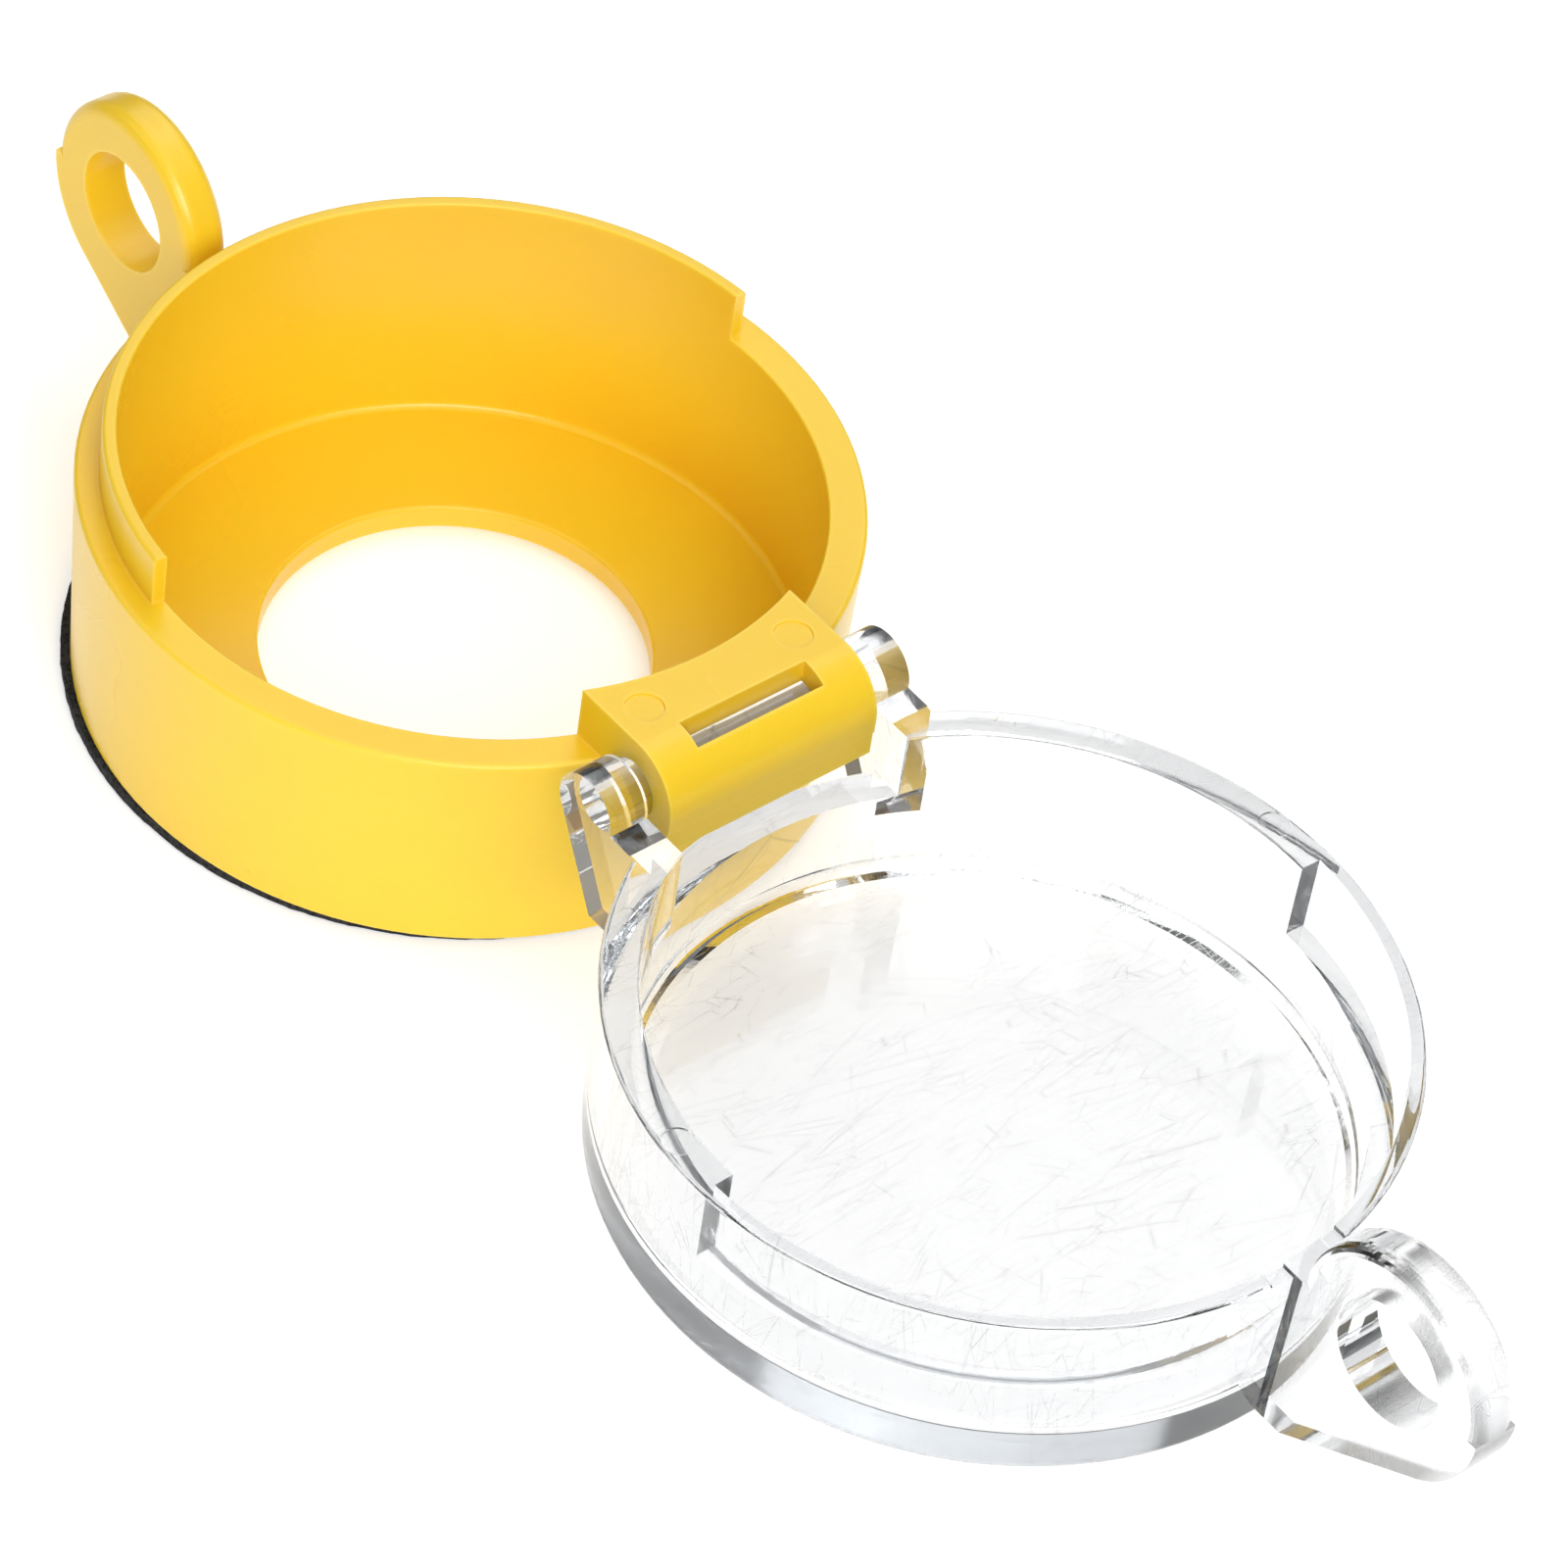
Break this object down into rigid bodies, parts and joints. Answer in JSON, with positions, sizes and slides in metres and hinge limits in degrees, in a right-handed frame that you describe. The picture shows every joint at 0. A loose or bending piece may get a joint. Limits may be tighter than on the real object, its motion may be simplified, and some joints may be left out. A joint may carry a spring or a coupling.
{
  "type": "push button lockout cover",
  "caption": "Hinged lockout cover for a panel push button: round yellow base cup, clear swing lid, hasp lugs for a padlock and a foam gasket.",
  "frame": {"origin": "centre of the button hole, on the underside of the base moulding", "axes": "+Z along the button hole, out of the panel; +X from the base to the hinge and the open lid; +Y along the hinge axis"},
  "size_m": [0.1598, 0.06, 0.0287],
  "materials": {
    "yellow_plastic": "moulded, semi-gloss, warm yellow",
    "clear_plastic": "moulded, clear, polished, fine handling scratches",
    "black_foam": "closed-cell foam with a rough cut edge"
  },
  "bodies": {
    "base_body": {"base": "yellow_plastic", "gasket": "black_foam"},
    "lid_body": {"lid": "clear_plastic"}
  },
  "joints": [
    {"name": "lid_hinge", "type": "hinge", "parent": "base_body", "child": "lid_body", "pos_m": [0.0317, 0, 0.0188], "axis": [0, -1, 0], "range_deg": [0, 180.6]}
  ]
}
